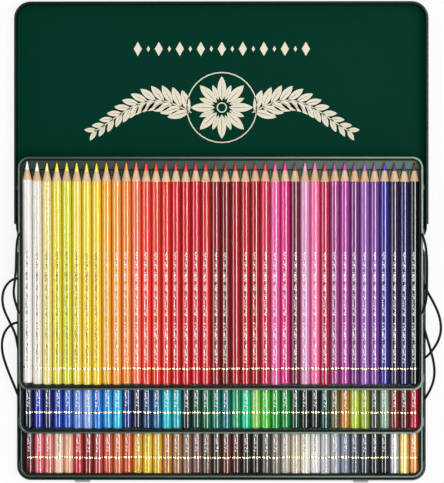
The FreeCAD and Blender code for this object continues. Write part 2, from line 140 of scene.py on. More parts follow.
class Graph:
    """A short way to add nodes to one tree and join them."""

    def __init__(self, tree: bpy.types.NodeTree) -> None:
        """Keeps the tree that nodes are added to."""
        self.tree = tree

    def add(self, kind: str, inputs: dict[str, object] | None = None, **settings: object) -> bpy.types.Node:
        """Adds a node, sets its properties and feeds its inputs.

        Args:
            kind: the node's type name.
            inputs: sockets or plain values by input name.
            settings: properties of the node by name.

        Returns:
            The node.
        """
        node = self.tree.nodes.new(kind)
        for name, value in settings.items():
            setattr(node, name, value)
        for name, value in (inputs or {}).items():
            self.feed(node.inputs[name], value)
        return node

    def feed(self, target: Socket, value: object) -> None:
        """Links a socket into an input, or sets the input to a plain value.

        Args:
            target: the input.
            value: a socket, or what the input is set to.
        """
        if isinstance(value, Socket):
            self.tree.links.new(value, target)
        else:
            target.default_value = value

    def math(self, operation: str, *values: object) -> Socket:
        """Adds a Math node.

        Args:
            operation: its operation.
            values: sockets or numbers for its inputs.

        Returns:
            Its output.
        """
        node = self.add("ShaderNodeMath", operation=operation)
        for target, value in zip(node.inputs, values):
            self.feed(target, value)
        return node.outputs[0]

    def mix(self, share: object, first: object, second: object) -> Socket:
        """Mixes two colours.

        Args:
            share: how much of the second colour shows.
            first: the colour at 0.
            second: the colour at 1.

        Returns:
            The mixed colour.
        """
        node = self.add("ShaderNodeMix", data_type="RGBA")
        # A Mix node's sockets for colours come after those for numbers and vectors.
        for number, value in ((0, share), (6, first), (7, second)):
            self.feed(node.inputs[number], value)
        return node.outputs[2]

    def where(self) -> Socket:
        """Returns each point's place in its object's own frame."""
        return self.add("ShaderNodeTexCoord").outputs["Object"]

    def split(self, vector: Socket) -> list[Socket]:
        """Returns the three parts of a vector."""
        return list(self.add("ShaderNodeSeparateXYZ", {"Vector": vector}).outputs)

    def uv(self, name: str) -> list[Socket]:
        """Returns the two parts of a UV map."""
        return self.split(self.add("ShaderNodeUVMap", uv_map=name).outputs[0])[:2]

    def total(self, start: float, *terms: tuple[Socket, float]) -> Socket:
        """Adds up weighted terms.

        Args:
            start: the number to begin with.
            terms: sockets, each with its weight.

        Returns:
            The start plus each socket times its weight.
        """
        result: object = start
        for socket, weight in terms:
            result = self.math("ADD", result, self.math("MULTIPLY", socket, weight))
        return result

    def step(self, value: object, low: float, high: float) -> Socket:
        """Returns a soft step that goes from 0 at low to 1 at high."""
        inputs = {"Value": value, "From Min": low, "From Max": high}
        return self.add("ShaderNodeMapRange", inputs, interpolation_type="SMOOTHSTEP").outputs[0]

    def noise(self, vector: Socket, scale: object, detail: float) -> Socket:
        """Returns the value of a noise texture at a vector."""
        return self.add("ShaderNodeTexNoise", {"Vector": vector, "Scale": scale, "Detail": detail}).outputs[0]

    def bump(self, height: Socket, strength: float, distance: float) -> Socket:
        """Returns the normal that a height gives."""
        inputs = {"Height": height, "Strength": strength, "Distance": distance}
        return self.add("ShaderNodeBump", inputs).outputs[0]

    def place(self, group: bpy.types.NodeTree, **inputs: object) -> bpy.types.Node:
        """Adds a group node and feeds its inputs by name."""
        return self.add("ShaderNodeGroup", inputs, node_tree=group)


def new_group(name: str, inputs: dict[str, str], outputs: dict[str, str]) -> tuple[Graph, dict, dict]:
    """Makes an empty shader node group with named sockets.

    Args:
        name: the group's name.
        inputs: socket types by input name.
        outputs: socket types by output name.

    Returns:
        The group's graph, its input sockets and its output sockets, by name.
    """
    tree = bpy.data.node_groups.new(name, "ShaderNodeTree")
    for label, kind in inputs.items():
        tree.interface.new_socket(label, in_out="INPUT", socket_type=kind)
    for label, kind in outputs.items():
        tree.interface.new_socket(label, in_out="OUTPUT", socket_type=kind)
    graph = Graph(tree)
    into = graph.add("NodeGroupInput")
    out = graph.add("NodeGroupOutput")
    return graph, {s.name: s for s in into.outputs if s.name}, {s.name: s for s in out.inputs if s.name}


class SharedEffects:
    """The node groups that several finishes use."""

    streak_turn: float = 0.6
    streak_stretch: float = 9.0
    streak_steps: tuple[float, float] = (0.58, 0.74)
    patch_scale: float = 30.0
    patch_steps: tuple[float, float] = (0.45, 0.75)

    def __init__(self) -> None:
        """Builds each group once."""
        self.mottle = self.build_mottle()
        self.scuffs = self.build_scuffs()

    def build_mottle(self) -> bpy.types.NodeTree:
        """Builds a group that lightens and darkens a colour in soft clouds and gives their height.

        Returns:
            The group.
        """
        graph, taken, given = new_group(
            "mottle",
            {"Colour": "NodeSocketColor", "Scale": "NodeSocketFloat", "Spread": "NodeSocketFloat"},
            {"Colour": "NodeSocketColor", "Height": "NodeSocketFloat"},
        )
        cloud = graph.noise(graph.where(), taken["Scale"], detail=4.0)
        lift = graph.math("MULTIPLY", graph.math("SUBTRACT", cloud, 0.5), taken["Spread"])
        value = graph.math("ADD", lift, 1.0)
        shade = graph.add("ShaderNodeHueSaturation", {"Color": taken["Colour"], "Value": value})
        graph.feed(given["Colour"], shade.outputs[0])
        graph.feed(given["Height"], cloud)
        return graph.tree

    def build_scuffs(self) -> bpy.types.NodeTree:
        """Builds a group that marks sparse fine rubbed places.

        Returns:
            The group.
        """
        graph, taken, given = new_group(
            "scuffs",
            {"Scale": "NodeSocketFloat", "Amount": "NodeSocketFloat"},
            {"Mask": "NodeSocketFloat"},
        )
        where = graph.where()
        turn = graph.add("ShaderNodeMapping", {
            "Vector": where, "Rotation": (0.0, 0.0, self.streak_turn),
            "Scale": (1.0, self.streak_stretch, 1.0),
        })
        streak = graph.noise(turn.outputs[0], taken["Scale"], detail=6.0)
        patch = graph.step(graph.noise(where, self.patch_scale, detail=2.0), *self.patch_steps)
        mask = graph.math("MULTIPLY", graph.step(streak, *self.streak_steps), patch)
        graph.feed(given["Mask"], graph.math("MULTIPLY", mask, taken["Amount"]))
        return graph.tree


def new_material(name: str) -> tuple[bpy.types.Material, Graph, bpy.types.Node]:
    """Makes a material that holds one Principled shader.

    Args:
        name: the material's name.

    Returns:
        The material, its graph and its shader.
    """
    material = bpy.data.materials.new(name)
    material.use_nodes = True
    return material, Graph(material.node_tree), material.node_tree.nodes["Principled BSDF"]


@dataclass(frozen=True)
class HardFinish:
    """Enamel, formed plastic, rubber, steel or ink: a colour with clouds, scuffs and a fine surface, and on
    some a painted light that lightens the right side.
    """

    name: str
    colour: str
    worn_colour: str
    roughness: float
    metallic: float = 0.0
    specular: float = 0.5
    cloud_scale: float = 60.0
    cloud_spread: float = 0.12
    cloud_roughness: float = 0.16
    scuff_scale: float = 160.0
    scuff_amount: float = 0.35
    scuff_roughness: float = 0.3
    grain_scale: float = 2600.0
    grain_strength: float = 0.25
    grain_depth: float = 0.00002
    # A lighter colour towards +X: painted light, as if lit from the right.
    lit_right_colour: str = ""
    tin_half: float = 0.16

    def ground(self, graph: Graph) -> object:
        """Chooses the plain colour, or one that passes from left to right across the tin: painted light that
        lightens the right side.

        Args:
            graph: the material's graph.

        Returns:
            The colour, or the socket that gives it.
        """
        if not self.lit_right_colour:
            return linear(self.colour)
        share = graph.step(graph.split(graph.where())[0], -self.tin_half, self.tin_half)
        return graph.mix(share, linear(self.colour), linear(self.lit_right_colour))

    def material(self, effects: SharedEffects) -> bpy.types.Material:
        """Builds the finish.

        Args:
            effects: the shared node groups.

        Returns:
            The material.
        """
        material, graph, shader = new_material(self.name)
        clouds = graph.place(
            effects.mottle, Colour=self.ground(graph), Scale=self.cloud_scale, Spread=self.cloud_spread
        )
        rubbed = graph.place(effects.scuffs, Scale=self.scuff_scale, Amount=self.scuff_amount).outputs["Mask"]
        worn = graph.mix(rubbed, clouds.outputs["Colour"], linear(self.worn_colour))
        graph.feed(shader.inputs["Base Color"], worn)
        rough = graph.total(
            self.roughness - self.cloud_roughness / 2,
            (clouds.outputs["Height"], self.cloud_roughness), (rubbed, self.scuff_roughness),
        )
        graph.feed(shader.inputs["Roughness"], rough)
        grain = graph.noise(graph.where(), self.grain_scale, detail=2.0)
        graph.feed(shader.inputs["Normal"], graph.bump(grain, self.grain_strength, self.grain_depth))
        shader.inputs["Metallic"].default_value = self.metallic
        shader.inputs["Specular IOR Level"].default_value = self.specular
        return material


@dataclass(frozen=True)
class RimmedEnamel(HardFinish):
    """Enamel with a rolled rim outside a rounded rectangle, in metres: the rim is painted darker as shade and
    has a shinier coat.
    """

    rim_shade_colour: str = "#0b1613"
    rim_roughness: float = 0.2
    half_x: float = 0.1603
    half_y: float = 0.0929
    corner: float = 0.0115
    middle_y: float = 0.18695
    low_z: float = 0.0185

    def rim_mask(self, graph: Graph) -> Socket:
        """Marks the rim: high up, where the distance from the rectangle's inset corners is past their radius.

        Args:
            graph: the material's graph.

        Returns:
            1 on the rim.
        """
        x, y, z = graph.split(graph.where())
        y = graph.math("SUBTRACT", y, self.middle_y)
        squares = []
        for value, half in ((x, self.half_x), (y, self.half_y)):
            past = graph.math("SUBTRACT", graph.math("ABSOLUTE", value), half - self.corner)
            squares.append(graph.math("POWER", graph.math("MAXIMUM", past, 0.0), 2.0))
        beyond = graph.math("GREATER_THAN", graph.math("SQRT", graph.math("ADD", *squares)), self.corner)
        return graph.math("MULTIPLY", beyond, graph.math("GREATER_THAN", z, self.low_z))

    def material(self, effects: SharedEffects) -> bpy.types.Material:
        """Builds the enamel and lays the rim's painted shade and shinier coat over it.

        Args:
            effects: the shared node groups.

        Returns:
            The material.
        """
        material = super().material(effects)
        graph = Graph(material.node_tree)
        shader = material.node_tree.nodes["Principled BSDF"]
        face = shader.inputs["Base Color"].links[0].from_socket
        rim = self.rim_mask(graph)
        # The rim takes a near-black colour: painted shade on the rolled edge.
        graph.feed(shader.inputs["Base Color"], graph.mix(rim, face, linear(self.rim_shade_colour)))
        graph.feed(shader.inputs["Coat Weight"], rim)
        shader.inputs["Coat Roughness"].default_value = self.rim_roughness
        return material


@dataclass(frozen=True)
class PencilFinish:
    """Lacquer with a gilt ring and runs of small printed cells, and bare wood beyond the lacquer's end."""

    name: str
    length: float
    lacquer_end: float
    ring_at: float = 12.6
    ring_half: float = 0.55
    runs: tuple[tuple[float, float], ...] = (
        (17.5, 31.5), (33.0, 48.5), (54.0, 71.0), (73.0, 79.0), (81.0, 88.0), (90.5, 104.5),
    )
    cell_along: float = 0.85
    cells_around: float = 30.0
    print_middle: float = 0.262
    print_half_turn: float = 0.037
    fill: float = 0.4
    gilt: str = "#e8dcb8"
    # The gilt print drawn as flat colours: pale as painted highlight on dark paints, dark as painted
    # reflection on pale ones.
    print_highlight: str = "#f6f4f0"
    print_dark_reflection: str = "#8a8266"
    pale_paints: tuple[float, float] = (0.42, 0.6)
    cloud_scale: float = 90.0
    cloud_spread: float = 0.06
    wood_light: str = "#f2d2a8"
    wood_dark: str = "#d6a072"
    grain_stretch: float = 0.09
    grain_scale: float = 1500.0
    grain_share: float = 0.5
    tone_scale: float = 70.0
    tone_steps: tuple[float, float] = (0.35, 0.65)
    tone_share: float = 0.4
    roughness: float = 0.13
    wood_roughness: float = 0.55
    metal_roughness: float = 0.25
    metal_share: float = 0.35
    coat: float = 0.3
    coat_roughness: float = 0.1
    peel_scale: float = 420.0
    peel_strength: float = 0.015
    peel_depth: float = 0.00003

    def ring_mask(self, graph: Graph, along: Socket) -> Socket:
        """Returns 1 on the gilt ring."""
        off = graph.math("ABSOLUTE", graph.math("SUBTRACT", along, self.ring_at))
        return graph.math("LESS_THAN", off, self.ring_half)

    def print_mask(self, graph: Graph, around: Socket, along: Socket) -> Socket:
        """Marks the printed runs: small cells along a strip, some filled and some bare.

        Args:
            graph: the material's graph.
            around: the turn round the barrel, from 0 to 1.
            along: the distance from the butt in millimetres.

        Returns:
            1 where the barrel is printed.
        """
        printed: object = 0.0
        for start, end in self.runs:
            after = graph.math("GREATER_THAN", along, start)
            inside = graph.math("MULTIPLY", after, graph.math("LESS_THAN", along, end))
            printed = graph.math("MAXIMUM", printed, inside)
        cell = graph.add("ShaderNodeCombineXYZ", {
            "X": graph.math("FLOOR", graph.math("DIVIDE", along, self.cell_along)),
            "Y": graph.math("FLOOR", graph.math("MULTIPLY", around, self.cells_around)),
        })
        draw = graph.add("ShaderNodeTexWhiteNoise", noise_dimensions="2D")
        graph.feed(draw.inputs["Vector"], cell.outputs[0])
        filled = graph.math("LESS_THAN", draw.outputs["Value"], self.fill)
        sideways = graph.math("ABSOLUTE", graph.math("SUBTRACT", around, self.print_middle))
        strip = graph.math("LESS_THAN", sideways, self.print_half_turn)
        return graph.math("MULTIPLY", graph.math("MULTIPLY", printed, filled), strip)

    def lacquer(self, graph: Graph, effects: SharedEffects, paint: Socket, ink: Socket) -> Socket:
        """Lays the print over the paint. The print is gilt and is drawn in flat colours: pale on dark paints
        as painted highlight, dark on pale ones as painted reflection.

        Args:
            graph: the material's graph.
            effects: the shared node groups.
            paint: the pencil's colour.
            ink: 1 where the barrel is printed.

        Returns:
            The printed paint.
        """
        clouds = graph.place(effects.mottle, Colour=paint, Scale=self.cloud_scale, Spread=self.cloud_spread)
        light = graph.add("ShaderNodeRGBToBW", {"Color": paint})
        pale = graph.step(light.outputs[0], *self.pale_paints)
        colour = graph.mix(pale, linear(self.print_highlight), linear(self.print_dark_reflection))
        return graph.mix(ink, clouds.outputs["Colour"], colour)

    def grain(self, graph: Graph) -> Socket:
        """Makes noise that is drawn out along the pencil.

        Args:
            graph: the material's graph.

        Returns:
            The noise.
        """
        scale = (1.0, self.grain_stretch, 1.0)
        stretch = graph.add("ShaderNodeMapping", {"Vector": graph.where(), "Scale": scale})
        return graph.noise(stretch.outputs[0], self.grain_scale, detail=4.0)

    def timber(self, graph: Graph, grain: Socket) -> Socket:
        """Mixes the wood's colour: grain within a tone that differs from pencil to pencil.

        Args:
            graph: the material's graph.
            grain: noise along the pencil.

        Returns:
            The wood's colour.
        """
        tone = graph.step(graph.noise(graph.where(), self.tone_scale, detail=0.0), *self.tone_steps)
        share = graph.total(0.0, (grain, self.grain_share), (tone, self.tone_share))
        return graph.mix(share, linear(self.wood_light), linear(self.wood_dark))

    def material(self, effects: SharedEffects) -> bpy.types.Material:
        """Builds the finish.

        Args:
            effects: the shared node groups.

        Returns:
            The material.
        """
        material, graph, shader = new_material(self.name)
        paint = graph.add("ShaderNodeAttribute", attribute_name="paint").outputs
        around, share = graph.uv("barrel")
        along = graph.math("MULTIPLY", share, self.length)
        wood = graph.math("GREATER_THAN", along, self.lacquer_end)
        plain = graph.math("SUBTRACT", 1.0, wood)
        gilt = self.ring_mask(graph, along)
        grain = self.grain(graph)
        lacquer = self.lacquer(graph, effects, paint["Color"], self.print_mask(graph, around, along))
        painted = graph.mix(gilt, lacquer, linear(self.gilt))
        graph.feed(shader.inputs["Base Color"], graph.mix(wood, painted, self.timber(graph, grain)))
        sheen = graph.math("MULTIPLY", paint["Alpha"], plain)
        rough = graph.total(self.roughness, (wood, self.wood_roughness), (sheen, self.metal_roughness))
        graph.feed(shader.inputs["Roughness"], rough)
        metal = graph.math("MAXIMUM", gilt, graph.math("MULTIPLY", sheen, self.metal_share))
        graph.feed(shader.inputs["Metallic"], metal)
        graph.feed(shader.inputs["Coat Weight"], graph.math("MULTIPLY", plain, self.coat))
        peel = graph.noise(graph.where(), self.peel_scale, detail=1.0)
        peel = graph.math("ADD", peel, graph.math("MULTIPLY", wood, grain))
        graph.feed(shader.inputs["Normal"], graph.bump(peel, self.peel_strength, self.peel_depth))
        shader.inputs["Coat Roughness"].default_value = self.coat_roughness
        return material


@dataclass(frozen=True)
class LeadFinish:
    """Waxy pigment in a brighter tone of its pencil's colour, with turned marks from the sharpener."""

    name: str
    saturation: float = 1.05
    value: float = 1.5
    cloud_scale: float = 900.0
    cloud_spread: float = 0.3
    cloud_roughness: float = 0.3
    roughness: float = 0.35
    mark_scale: float = 700.0
    mark_bend: float = 3.0
    mark_strength: float = 0.3
    mark_depth: float = 0.00005

    def material(self, effects: SharedEffects) -> bpy.types.Material:
        """Builds the finish.

        Args:
            effects: the shared node groups.

        Returns:
            The material.
        """
        material, graph, shader = new_material(self.name)
        paint = graph.add("ShaderNodeAttribute", attribute_name="paint")
        bright = graph.add("ShaderNodeHueSaturation", {
            "Saturation": self.saturation, "Value": self.value, "Color": paint.outputs["Color"],
        })
        clouds = graph.place(
            effects.mottle, Colour=bright.outputs[0], Scale=self.cloud_scale, Spread=self.cloud_spread
        ).outputs
        graph.feed(shader.inputs["Base Color"], clouds["Colour"])
        rough = graph.total(self.roughness, (clouds["Height"], self.cloud_roughness))
        graph.feed(shader.inputs["Roughness"], rough)
        marks = {"Vector": graph.where(), "Scale": self.mark_scale, "Distortion": self.mark_bend}
        rings = graph.add("ShaderNodeTexWave", marks, bands_direction="Y")
        height = graph.math("ADD", rings.outputs["Fac"], clouds["Height"])
        graph.feed(shader.inputs["Normal"], graph.bump(height, self.mark_strength, self.mark_depth))
        return material


@dataclass(frozen=True)
class BraidFinish:
    """Black braided cord: two families of strands that cross, read along and round the cord, with painted
    shade in the hollows between them.
    """

    name: str
    dark: str = "#040405"
    light: str = "#121214"
    strands: float = 8.0
    lit_from: float = -0.6
    cloud_scale: float = 400.0
    cloud_spread: float = 0.3
    roughness: float = 0.7
    crest_roughness: float = -0.15
    strand_strength: float = 0.6
    strand_depth: float = 0.00012
    specular: float = 0.12

    def material(self, effects: SharedEffects) -> bpy.types.Material:
        """Builds the finish.

        Args:
            effects: the shared node groups.

        Returns:
            The material.
        """
        material, graph, shader = new_material(self.name)
        around, along = graph.uv("braid")
        around = graph.math("MULTIPLY", around, self.strands)
        waves = []
        for way in ("ADD", "SUBTRACT"):
            phase = graph.math(way, around, along)
            waves.append(graph.math("SINE", graph.math("MULTIPLY", phase, 2 * math.pi)))
        height = graph.math("MAXIMUM", *waves)
        # Crests of the strands take the lighter colour and the hollows the darker one: painted shade.
        share = graph.step(height, self.lit_from, 1.0)
        clouds = graph.place(
            effects.mottle, Colour=linear(self.light), Scale=self.cloud_scale, Spread=self.cloud_spread
        )
        strand = graph.mix(share, linear(self.dark), clouds.outputs["Colour"])
        graph.feed(shader.inputs["Base Color"], strand)
        graph.feed(shader.inputs["Roughness"], graph.total(self.roughness, (share, self.crest_roughness)))
        graph.feed(shader.inputs["Normal"], graph.bump(height, self.strand_strength, self.strand_depth))
        shader.inputs["Specular IOR Level"].default_value = self.specular
        return material


def grid_faces(rows: int, columns: int, wrap: bool) -> np.ndarray:
    """Lists the quads of a grid of points.

    Args:
        rows: points along the first parameter.
        columns: points along the second parameter.
        wrap: whether the last column joins the first.

    Returns:
        Four point numbers for each quad.
    """
    row = np.arange(rows - 1)[:, None] * columns
    column = np.arange(columns if wrap else columns - 1)[None, :]
    after = (column + 1) % columns
    quads = [row + column, row + after, row + columns + after, row + columns + column]
    return np.stack(np.broadcast_arrays(*quads), axis=-1).reshape(-1, 4)


def even_angles(sides: int) -> np.ndarray:
    """Returns even angles round a circle, from 0."""
    return np.arange(sides) / sides * 2 * np.pi


def unit(vectors: np.ndarray) -> np.ndarray:
    """Returns each vector at a length of 1."""
    return vectors / np.linalg.norm(vectors, axis=1, keepdims=True)


def circles(tangent: np.ndarray, across: np.ndarray, sides: int) -> np.ndarray:
    """Makes a unit circle square to each tangent: cos a times across plus sin a times their cross.

    Args:
        tangent: unit vectors along a line.
        across: unit vectors square to them.
        sides: points round each circle.

    Returns:
        The circles' points round the origin.
    """
    angle = even_angles(sides)[None, :, None]
    return np.cos(angle) * across[:, None] + np.sin(angle) * np.cross(tangent, across)[:, None]


def corner_turns(faces: np.ndarray, sides: int) -> np.ndarray:
    """Finds each corner's share of a turn, with 1 in place of 0 where a face closes the ring.

    Args:
        faces: four point numbers each, of a grid that wraps round.
        sides: points round the ring.

    Returns:
        A share from 0 to 1 for each corner.
    """
    column = faces % sides
    closing = (column == 0) & (column.max(axis=1, keepdims=True) == sides - 1)
    return np.where(closing, sides, column) / sides


def make_piece(
    name: str, points: np.ndarray, faces: np.ndarray, material: bpy.types.Material, body: str,
    uv: tuple[str, np.ndarray] | None = None, paint: np.ndarray | None = None, closed: bool = True,
) -> bpy.types.Object:
    """Makes a mesh piece from arrays, merges its poles and seams, lets it ride on a body and reports it.

    Args:
        name: the piece's name.
        points: places in metres, three numbers each.
        faces: four point numbers each.
        material: its finish.
        body: the body that it moves with.
        uv: the name of a UV map and two numbers for each corner, if it has one.
        paint: four numbers for each point, if it carries a colour.
        closed: whether the faces are turned outwards as a closed form.

    Returns:
        The piece.
    """
    mesh = bpy.data.meshes.new(name)
    mesh.from_pydata(points.tolist(), [], faces.tolist())
    if uv is not None:
        layer = mesh.uv_layers.new(name=uv[0])
        layer.data.foreach_set("uv", np.asarray(uv[1], np.float32).ravel())
    if paint is not None:
        colours = mesh.attributes.new("paint", "FLOAT_COLOR", "POINT")
        colours.data.foreach_set("color", np.asarray(paint, np.float32).ravel())
    form = bmesh.new()
    form.from_mesh(mesh)
    bmesh.ops.remove_doubles(form, verts=form.verts, dist=MERGE_DISTANCE)
    if closed:
        bmesh.ops.recalc_face_normals(form, faces=form.faces)
    form.to_mesh(mesh)
    form.free()
    mesh.shade_smooth()
    mesh.set_sharp_from_angle(angle=math.radians(SHARP_DEGREES))
    mesh.materials.append(material)
    piece = bpy.data.objects.new(name, mesh)
    bpy.context.scene.collection.objects.link(piece)
    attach(piece, body)
    LOG.info("made %s on %s", name, body)
    return piece


def dress(node: bpy.types.Object, material: bpy.types.Material) -> None:
    """Gives a CAD node its finish."""
    node.data.materials.clear()
    node.data.materials.append(material)


@dataclass(frozen=True)
class TrayFrame:
    """Where a tray lies, in millimetres: the middle of its underside, and the sine of its lean."""

    y: float
    z: float
    lean_sine: float

    def place(self, points: np.ndarray) -> np.ndarray:
        """Leans points about the X axis, moves them to the tray and turns millimetres into metres.

        Args:
            points: places in the tray's frame, in millimetres.

        Returns:
            The places in the shared frame, in metres.
        """
        sine = self.lean_sine
        cosine = math.sqrt(1 - sine * sine)
        x, y, z = points[..., 0], points[..., 1], points[..., 2]
        moved = np.stack([x, self.y + y * cosine - z * sine, self.z + y * sine + z * cosine], axis=-1)
        return moved * MM


# The upper trays rise by so much over their run from the front rest to the hinge, in millimetres.
LEAN_RISE = 8.1
LEAN_RUN = 147.6
LEAN_SINE = LEAN_RISE / LEAN_RUN
FRAMES: dict[Tray, TrayFrame] = {
    Tray.BOTTOM: TrayFrame(y=0.0, z=0.6, lean_sine=0.0),
    Tray.MIDDLE: TrayFrame(y=35.0, z=15.6033, lean_sine=LEAN_SINE),
    Tray.TOP: TrayFrame(y=69.3930, z=27.6088, lean_sine=LEAN_SINE),
}


@dataclass
class PencilSet:
    """The forty pencils of one tray, in millimetres, in the tray's frame."""

    tray: Tray
    body: str
    length: float = 173.2
    radius: float = 3.75
    butt_round: float = 1.1
    butt_points: int = 4
    cone: float = 14.4
    wood_end_radius: float = 1.66
    lead_radius: float = 1.5
    tip_radius: float = 0.4
    waist_share: float = 0.55
    waist_push: float = 0.4
    tip_length: float = 0.2
    cap_share: float = 0.6
    cap_length: float = 0.05
    lacquer: float = 0.09
    edge_before: float = 0.1
    edge_drop: float = 0.03
    edge_after: float = 0.04
    pitch: float = 7.74
    axis_height: float = 4.95
    bore_depth: float = 6.0
    bore_play: float = 0.02
    scatter: float = 0.3
    scatter_step: float = 0.382
    roll: float = 0.02
    roll_step: float = 2.4
    shift: float = 0.0
    strays: tuple[tuple[int, float], ...] = ()
    turned_over: tuple[int, ...] = ()
    barrel_sides: int = 24
    lead_sides: int = 16

    def lacquer_end(self) -> float:
        """Returns how far from the butt the lacquer ends, halfway down its edge."""
        return self.length - self.cone + self.edge_after / 2

    def butts(self) -> np.ndarray:
        """Places each butt: even steps across, pushed along by a sine of its number squared.

        Returns:
            The middle of each butt, in the tray's frame.
        """
        number = np.arange(PENCILS_A_TRAY)
        x = (number - (PENCILS_A_TRAY - 1) / 2) * self.pitch
        y = self.scatter * np.sin(2 * np.pi * self.scatter_step * number ** 2) - self.length / 2 + self.shift
        for stray, push in self.strays:
            y[stray] += push
        return np.stack([x, y, np.full(PENCILS_A_TRAY, self.axis_height)], axis=-1)

    def casing_profile(self) -> np.ndarray:
        """Draws a casing: a quarter circle at the butt, then straight barrel, lacquer's edge, cone and bore.

        Returns:
            Radius and distance from the butt at each point.
        """
        turn = np.linspace(0, np.pi / 2, self.butt_points)
        flat = self.radius - self.butt_round
        butt = self.butt_round * np.stack([np.sin(turn), 1 - np.cos(turn)], axis=-1) + np.array([flat, 0.0])
        cone_start = self.length - self.cone
        wood_end = self.length - self.cone * self.wood_end_radius / self.radius
        bare = self.radius - self.lacquer
        bore = self.lead_radius + self.bore_play
        rest = np.array([
            (self.radius, cone_start - self.edge_before), (self.radius - self.edge_drop, cone_start),
            (bare, cone_start + self.edge_after), (self.wood_end_radius, wood_end), (bore, wood_end),
            (bore, wood_end - self.bore_depth), (0.0, wood_end - self.bore_depth),
        ])
        return np.concatenate([[(0.0, 0.0)], butt, rest])

    def lead_profile(self) -> np.ndarray:
        """Draws a lead in straight lines: a rod in the bore, a cone and a blunt tip.

        Returns:
            Radius and distance from the butt at each point.
        """
        shoulder = self.length - self.cone * self.lead_radius / self.radius
        start = shoulder - self.bore_depth
        return np.array([
            (0.0, start), (self.lead_radius, start), (self.lead_radius, shoulder),
            (self.lead_radius * self.waist_share, (shoulder + self.length) / 2 + self.waist_push),
            (self.tip_radius, self.length - self.tip_length),
            (self.tip_radius * self.cap_share, self.length - self.cap_length), (0.0, self.length),
        ])

    def turned(
        self, profile: np.ndarray, sides: int, numbers: np.ndarray
    ) -> tuple[np.ndarray, np.ndarray, np.ndarray]:
        """Turns a profile about each pencil's axis: (r cos a, along, r sin a) at even angles a.

        Args:
            profile: radius and distance from the butt.
            sides: points round the axis.
            numbers: which pencils to make.

        Returns:
            Places in metres, faces, and a UV of turn and share of the length for each corner.
        """
        angle = even_angles(sides)
        ring = np.stack([np.cos(angle), np.zeros(sides), np.sin(angle)], axis=-1)
        one = profile[:, None, 0:1] * ring[None] + profile[:, None, 1:2] * np.array([0.0, 1.0, 0.0])
        one = one.reshape(-1, 3)
        quads = grid_faces(len(profile), sides, True)
        points = FRAMES[self.tray].place(self.butts()[numbers][:, None, :] + one[None])
        faces = quads[None] + (np.arange(len(numbers)) * len(one))[:, None, None]
        share = profile[quads // sides, 1] / self.length
        roll = self.roll * np.sin(self.roll_step * numbers) + HALF_TURN * np.isin(numbers, self.turned_over)
        turn = corner_turns(quads, sides)[None] + roll[:, None, None]
        uv = np.stack([turn, np.broadcast_to(share, turn.shape)], axis=-1)
        return points.reshape(-1, 3), faces.reshape(-1, 4), uv.reshape(-1, 2)

    def paint(self, numbers: np.ndarray, points_each: int) -> np.ndarray:
        """Returns each point's paint, with an alpha of 1 on the metallic ones."""
        row = [linear(code)[:3] + (float(name in METAL_PAINTS),) for name, code in PAINTS[self.tray].items()]
        return np.repeat(np.array(row)[numbers], points_each, axis=0)

    def build(self, casing: bpy.types.Material, lead: bpy.types.Material) -> None:
        """Makes the casings in groups and all the leads as one piece.

        Args:
            casing: the casings' finish.
            lead: the leads' finish.
        """
        profile = self.casing_profile()
        for first in range(0, PENCILS_A_TRAY, GROUP_SIZE):
            numbers = np.arange(first, first + GROUP_SIZE)
            points, faces, uv = self.turned(profile, self.barrel_sides, numbers)
            node = f"{self.tray.value}_pencils_{first // GROUP_SIZE + 1}"
            paint = self.paint(numbers, len(profile) * self.barrel_sides)
            piece = make_piece(f"{node}_lacquered", points, faces, casing, self.body, ("barrel", uv), paint)
            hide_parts(node)
        numbers = np.arange(PENCILS_A_TRAY)
        profile = self.lead_profile()
        points, faces, uv = self.turned(profile, self.lead_sides, numbers)
        paint = self.paint(numbers, len(profile) * self.lead_sides)
        node = f"{self.tray.value}_pencil_leads"
        piece = make_piece(f"{node}_sharpened", points, faces, lead, self.body, ("barrel", uv), paint)
        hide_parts(node)


